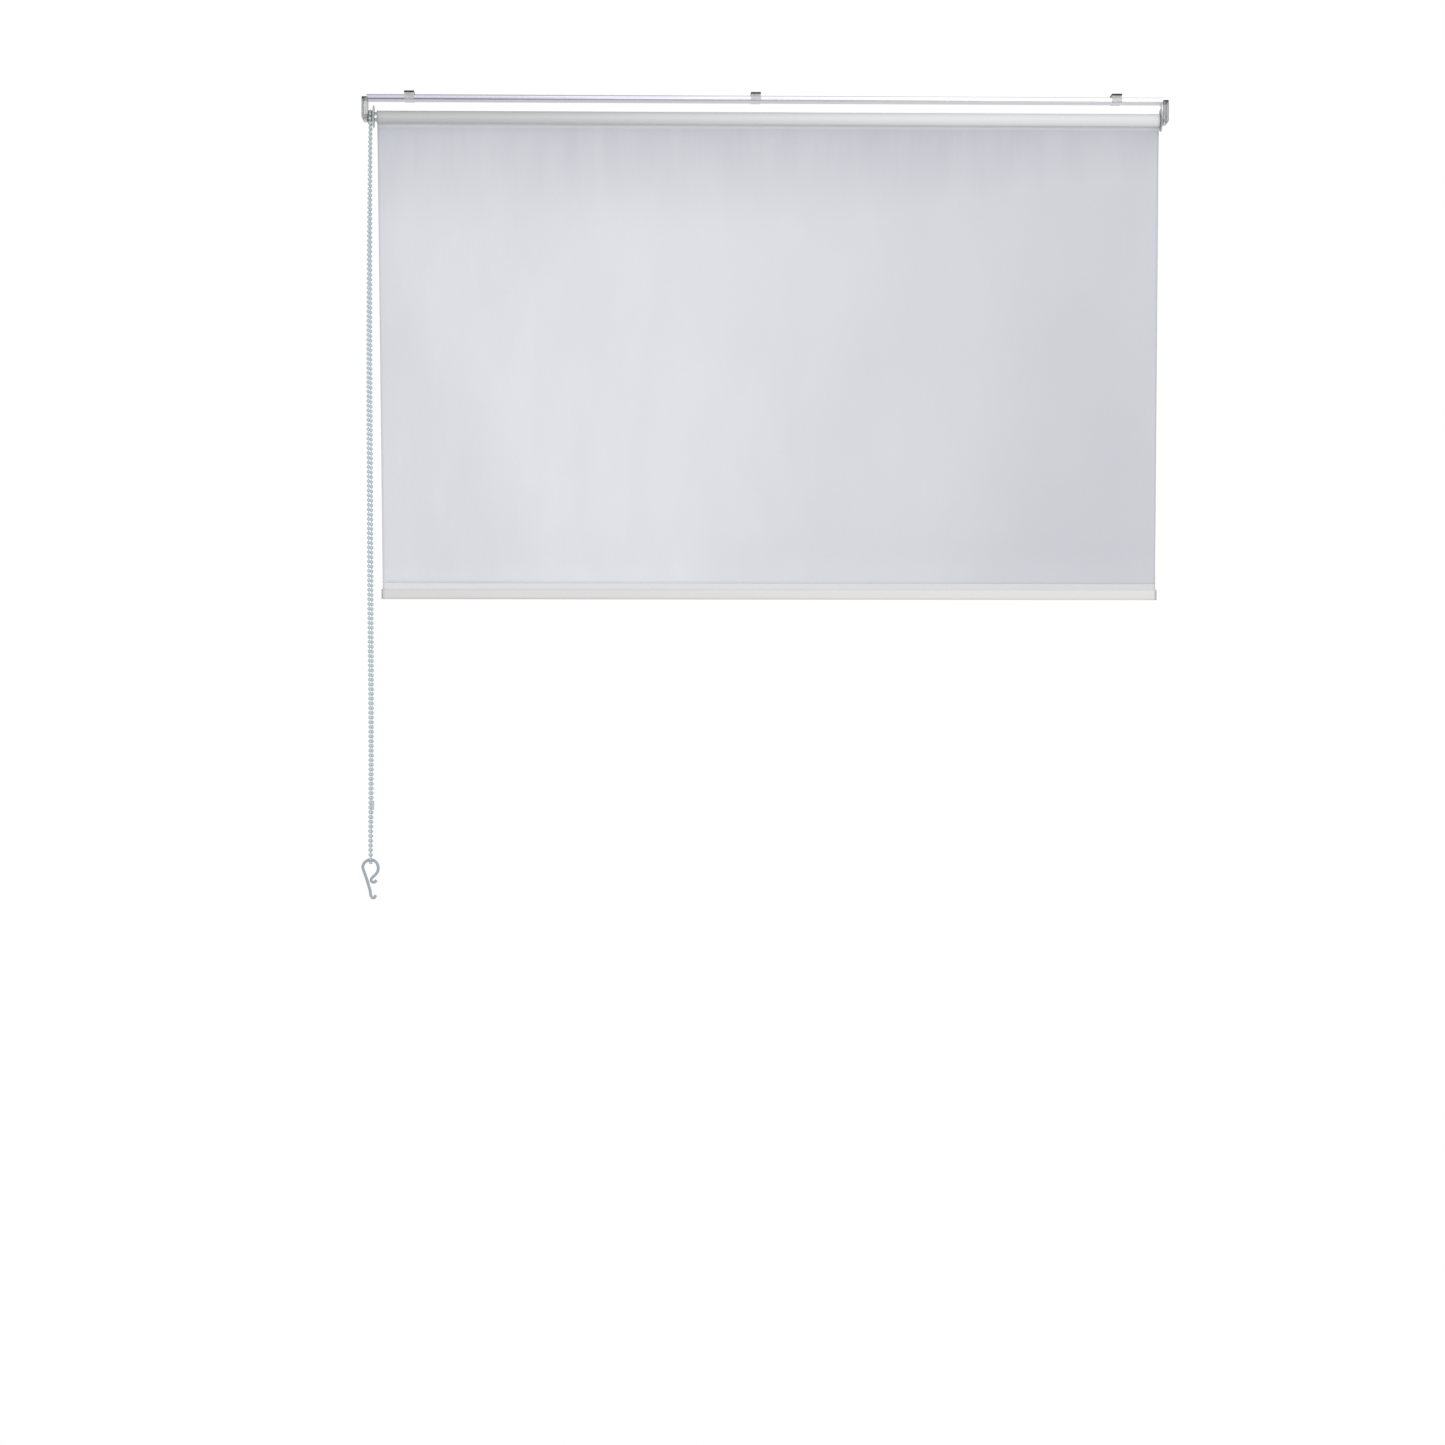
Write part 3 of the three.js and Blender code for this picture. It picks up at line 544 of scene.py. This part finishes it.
def wound_film():
    """The roll: a barrel a little uneven along its length, and ends where each turn sits at its own depth."""
    around, columns = 96, 240
    x = np.linspace(FILM_LEFT, FILM_RIGHT, columns)
    uneven = 0.05 * MM * ripple(x, 12, 7, 0.04, 0.4) - 0.06 * MM
    angles = np.linspace(0, 2 * math.pi, around, endpoint=False)
    bore = span("roller_tube")[1][2] - AXIS_Z + 0.0003
    turns = 9
    rings = []
    for side, end in ((-1, FILM_LEFT), (1, FILM_RIGHT)):
        radii = np.linspace(bore, ROLL_RADIUS + float(uneven[0 if side < 0 else -1]), turns + 1)
        depth = 0.18 * MM * ripple(np.arange(turns) * 1.0, 21 + side, 4, 1.3, 3.1)
        face = []
        for i in range(turns):
            place = end - side * (0.25 * MM + float(depth[i]))
            face += [(place, radii[i] + 0.02 * MM), (place, radii[i + 1])]
        rings.append(face)
    barrel = list(zip(x[1:-1], (ROLL_RADIUS + uneven)[1:-1]))
    profile = rings[0] + barrel + rings[1][::-1]
    points = [
        (px, r * math.cos(a), AXIS_Z + r * math.sin(a))
        for px, r in profile
        for a in angles
    ]
    faces = grid_faces(len(profile), around, close_columns=True, flip=True)
    bore_faces = [
        [(len(profile) - 1) * around + j, (len(profile) - 1) * around + (j + 1) % around, (j + 1) % around, j]
        for j in range(around)
    ]
    faces = np.concatenate([faces, np.array(bore_faces)[:, ::-1]])
    return mesh_object("wound_film", points, faces, roll_material)


roll = wound_film()
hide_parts("fabric_roll")
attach(roll, "roller")


# ---------------------------------------------------------------- hem round the bar

def hem_path():
    """The middle line of the film in (y, z): down the front of the tail, round the bar and up the back."""
    wall = 0.3 * MM
    depth = HEM_DEPTH / 2 - wall / 2
    pocket_top = HEM_TOP - HEM_TAIL - wall / 2
    tail_foot = pocket_top + 0.8 * MM
    pocket_foot = HEM_FOOT + wall / 2
    high, low = pocket_top - depth, pocket_foot + depth
    half_tail = 0.1 * MM
    shoulder = np.linspace(TAIL_TURN, math.pi / 2, 8)
    path = [(-half_tail, z) for z in np.linspace(HEM_TOP, tail_foot, 8)]
    path += [(-depth * math.sin(a), high + depth * math.cos(a)) for a in shoulder]
    path += [(-depth, z) for z in np.linspace(high, low, 8)[1:]]
    path += [(-depth * math.cos(a), low - depth * math.sin(a)) for a in np.linspace(0, math.pi, 17)[1:]]
    path += [(depth, z) for z in np.linspace(low, high, 8)[1:]]
    path += [(depth * math.sin(a), high + depth * math.cos(a)) for a in shoulder[::-1][1:]]
    path += [(half_tail, z) for z in np.linspace(tail_foot, HEM_TOP, 8)]
    return np.array(path)


def hem():
    path = hem_path()
    step = np.gradient(path, axis=0)
    step /= np.linalg.norm(step, axis=1)[:, None]
    normal = np.stack([step[:, 1], -step[:, 0]], -1)
    half = 0.07 * MM
    section = np.concatenate([path - half * normal, (path + half * normal)[::-1]])
    columns = 260
    x = np.linspace(HEM_LEFT, HEM_RIGHT, columns)
    strip = np.clip((section[:, 1] - (HEM_TOP - WELD_FOOT)) / (3 * MM), 0, 1)
    pucker = 0.22 * MM * ripple(x, 31, 8, 0.012, 0.06)
    points = [
        (px, FILM_Y + y + s * p, z)
        for px, p in zip(x, pucker)
        for (y, z), s in zip(section, strip)
    ]
    n, m = len(section), len(path)
    faces = [tuple(f) for f in grid_faces(columns, n, close_columns=True)]
    for base, flip in ((0, True), ((columns - 1) * n, False)):
        for i in range(m - 1):
            quad = (base + i, base + i + 1, base + n - 2 - i, base + n - 1 - i)
            faces.append(quad[::-1] if flip else quad)
    return mesh_object("hem_film", points, faces, hem_material)


hem_piece = hem()
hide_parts("hem_pocket")
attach(hem_piece, "hem")


# ---------------------------------------------------------------- bead chain

# Millimetres from the middle of the wheel: over the connector, up the back strand, over the wheel,
# down the front strand, through the hook and up to the connector.
CHAIN_ROUTE = [
    (2.8, 7.64, -869.7), (2.9, 7.64, -840), (2.9, 7.64, -740), (2.2, 7.64, -600), (1.3, 7.64, -450),
    (0.4, 7.64, -330), (0, 7.64, -200), (-0.1, 7.64, -80), (0, 7.64, -12), (0, 7.64, 0),
    (0, 6.62, 3.82), (0, 3.82, 6.62), (0, 0, 7.64), (0, -3.82, 6.62), (0, -6.62, 3.82),
    (0, -7.64, 0), (0, -7.64, -12), (-0.8, -7.64, -80), (-1.8, -7.64, -200), (-2, -7.64, -330),
    (-1.3, -7.64, -450), (-0.4, -7.64, -600), (1.1, -7.64, -740), (1.6, -7.64, -850),
    (1.5, -7.64, -930), (1.9, -7.64, -942), (1.9, -6.62, -945.82), (1.9, -3.82, -948.62),
    (1.9, 0, -949.64), (1.9, 3.82, -948.62), (1.9, 6.62, -945.82), (1.9, 7.64, -942),
    (2, 7.64, -930), (2.8, 7.64, -882.3),
]


def smooth_line(points, per_step=24):
    """Centripetal Catmull-Rom through the points."""
    p = np.array(points, float)
    p = np.concatenate([[2 * p[0] - p[1]], p, [2 * p[-1] - p[-2]]])
    line = []
    for i in range(1, len(p) - 2):
        a, b, c, d = p[i - 1:i + 3]
        t0 = 0.0
        t1 = t0 + np.linalg.norm(b - a) ** 0.5
        t2 = t1 + np.linalg.norm(c - b) ** 0.5
        t3 = t2 + np.linalg.norm(d - c) ** 0.5
        for t in np.linspace(t1, t2, per_step, endpoint=False):
            ab = (t1 - t) / (t1 - t0) * a + (t - t0) / (t1 - t0) * b
            bc = (t2 - t) / (t2 - t1) * b + (t - t1) / (t2 - t1) * c
            cd = (t3 - t) / (t3 - t2) * c + (t - t2) / (t3 - t2) * d
            abc = (t2 - t) / (t2 - t0) * ab + (t - t0) / (t2 - t0) * bc
            bcd = (t3 - t) / (t3 - t1) * bc + (t - t1) / (t3 - t1) * cd
            line.append((t2 - t) / (t2 - t1) * abc + (t - t1) / (t2 - t1) * bcd)
    line.append(p[-2])
    return np.array(line)


def even_points(line, spacing):
    lengths = np.concatenate([[0], np.cumsum(np.linalg.norm(np.diff(line, axis=0), axis=1))])
    count = int(round(lengths[-1] / spacing))
    at = np.linspace(0, lengths[-1], count + 1)
    return np.stack([np.interp(at, lengths, line[:, k]) for k in range(3)], -1), lengths[-1]


def bead(meridians=14, rings=8):
    """A ball whose poles, where the string goes in, lie along the local Z."""
    points = [(0, 0, 1)]
    for i in range(1, rings):
        a = math.pi * i / rings
        points += [
            (math.sin(a) * math.cos(b), math.sin(a) * math.sin(b), math.cos(a))
            for b in np.linspace(0, 2 * math.pi, meridians, endpoint=False)
        ]
    points.append((0, 0, -1))
    faces = [(0, 1 + j, 1 + (j + 1) % meridians) for j in range(meridians)]
    for i in range(rings - 2):
        a, b = 1 + i * meridians, 1 + (i + 1) * meridians
        faces += [(a + j, b + j, b + (j + 1) % meridians, a + (j + 1) % meridians) for j in range(meridians)]
    last, base = len(points) - 1, 1 + (rings - 2) * meridians
    faces += [(last, base + (j + 1) % meridians, base + j) for j in range(meridians)]
    return np.array(points) * (BEAD_DIAMETER / 2), faces


def bead_chain():
    middle = np.array([CHAIN_X, 0, AXIS_Z])
    line = smooth_line(CHAIN_ROUTE) * MM + middle
    beads, length = even_points(line, BEAD_PITCH)
    beads = (beads[1:] + beads[:-1]) / 2
    ahead, side, up = frames_along(beads)
    ball, ball_faces = bead()
    points, faces = [], []
    for i, (place, a, s, u) in enumerate(zip(beads, ahead, side, up)):
        start = i * len(ball)
        points.append(place + ball[:, :1] * s + ball[:, 1:2] * u + ball[:, 2:] * a)
        faces += [tuple(start + k for k in f) for f in ball_faces]
    count = len(beads) * len(ball)
    string, _ = even_points(line, BEAD_PITCH / 2)
    string_points, string_faces = tube(string, STRING_RADIUS, 6, start=count)
    points.append(string_points)
    faces += string_faces
    return mesh_object("bead_string", np.concatenate(points), faces, bead_material), line, length


chain, chain_line, chain_length = bead_chain()
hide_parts("bead_chain")
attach(chain, "chain")


# ---------------------------------------------------------------- spring behind the end pin

def coil_spring(turns=7, per_turn=28, wire=0.3 * MM):
    """A round-wire coil, closed at both ends."""
    radius = float(spring_high[2] - spring_low[2]) / 2 - wire
    angle = np.linspace(0, 2 * math.pi * turns, turns * per_turn + 1)
    x = np.linspace(spring_low[0] + wire, spring_high[0] - wire, len(angle))
    line = np.stack([x, radius * np.cos(angle), AXIS_Z + radius * np.sin(angle)], -1)
    points, faces = tube(line, wire, 8)
    return mesh_object("end_spring", points, faces, steel_material)


end_spring = coil_spring()
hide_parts("idle_spring")
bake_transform(end_spring)


# ---------------------------------------------------------------- light and floor

def area_light(name, place, aim, size, power, tint=(1, 1, 1)):
    data = bpy.data.lights.new(name, "AREA")
    data.shape = "RECTANGLE"
    data.size, data.size_y = size
    data.energy = power
    data.color = tint
    light = bpy.data.objects.new(name, data)
    light.location = place
    light.rotation_euler = (Vector(aim) - Vector(place)).to_track_quat("-Z", "Y").to_euler()
    bpy.context.collection.objects.link(light)
    return light


AMBIENT = 0.72  # what lights the blind; the backdrop itself shows white
FLOOR_Z = -2.35
area_light("front_box", (-0.3, -4.6, 0.6), (0, 0, -0.5), (1.6, 1.2), 16)
area_light("near_box", (-0.3, -1.5, -0.42), (-0.25, 0, -0.4), (0.5, 0.5), 2.6)
area_light("top_box", (0.6, -1.6, 2.2), (0, 0, -0.4), (2.4, 1.0), 3)
area_light("right_box", (1.5, -4.6, 0.9), (0.4, 0, -0.2), (1.4, 1.0), 12)
area_light("back_box", (-1.6, 3.6, 1.2), (0, 0, -0.6), (2.2, 2.2), 12)

world = bpy.data.worlds.new("studio")
world.use_nodes = True
bpy.context.scene.world = world
tree = world.node_tree
background = tree.nodes["Background"]
background.inputs["Color"].default_value = (1, 1, 1, 1)
seen = tree.nodes.new("ShaderNodeLightPath").outputs["Is Camera Ray"]
strength = tree.nodes.new("ShaderNodeMapRange")
strength.inputs["To Min"].default_value = AMBIENT
strength.inputs["To Max"].default_value = 1.0
tree.links.new(seen, strength.inputs["Value"])
tree.links.new(strength.outputs["Result"], background.inputs["Strength"])

floor_mesh = bpy.data.meshes.new("floor")
floor_mesh.from_pydata(
    [(-8, -9, FLOOR_Z), (8, -9, FLOOR_Z), (8, 1.9, FLOOR_Z), (-8, 1.9, FLOOR_Z)], [], [(0, 1, 2, 3)]
)
floor = bpy.data.objects.new("floor", floor_mesh)
bpy.context.collection.objects.link(floor)
floor_nodes = Nodes("floor_paper", Roughness=0.9)
floor_nodes.colour(floor_nodes.blend(floor_nodes.noise(4), (0.86, 0.86, 0.86), (0.9, 0.9, 0.9)))
floor_mesh.materials.append(floor_nodes.material)

bpy.context.scene.view_settings.view_transform = "Standard"
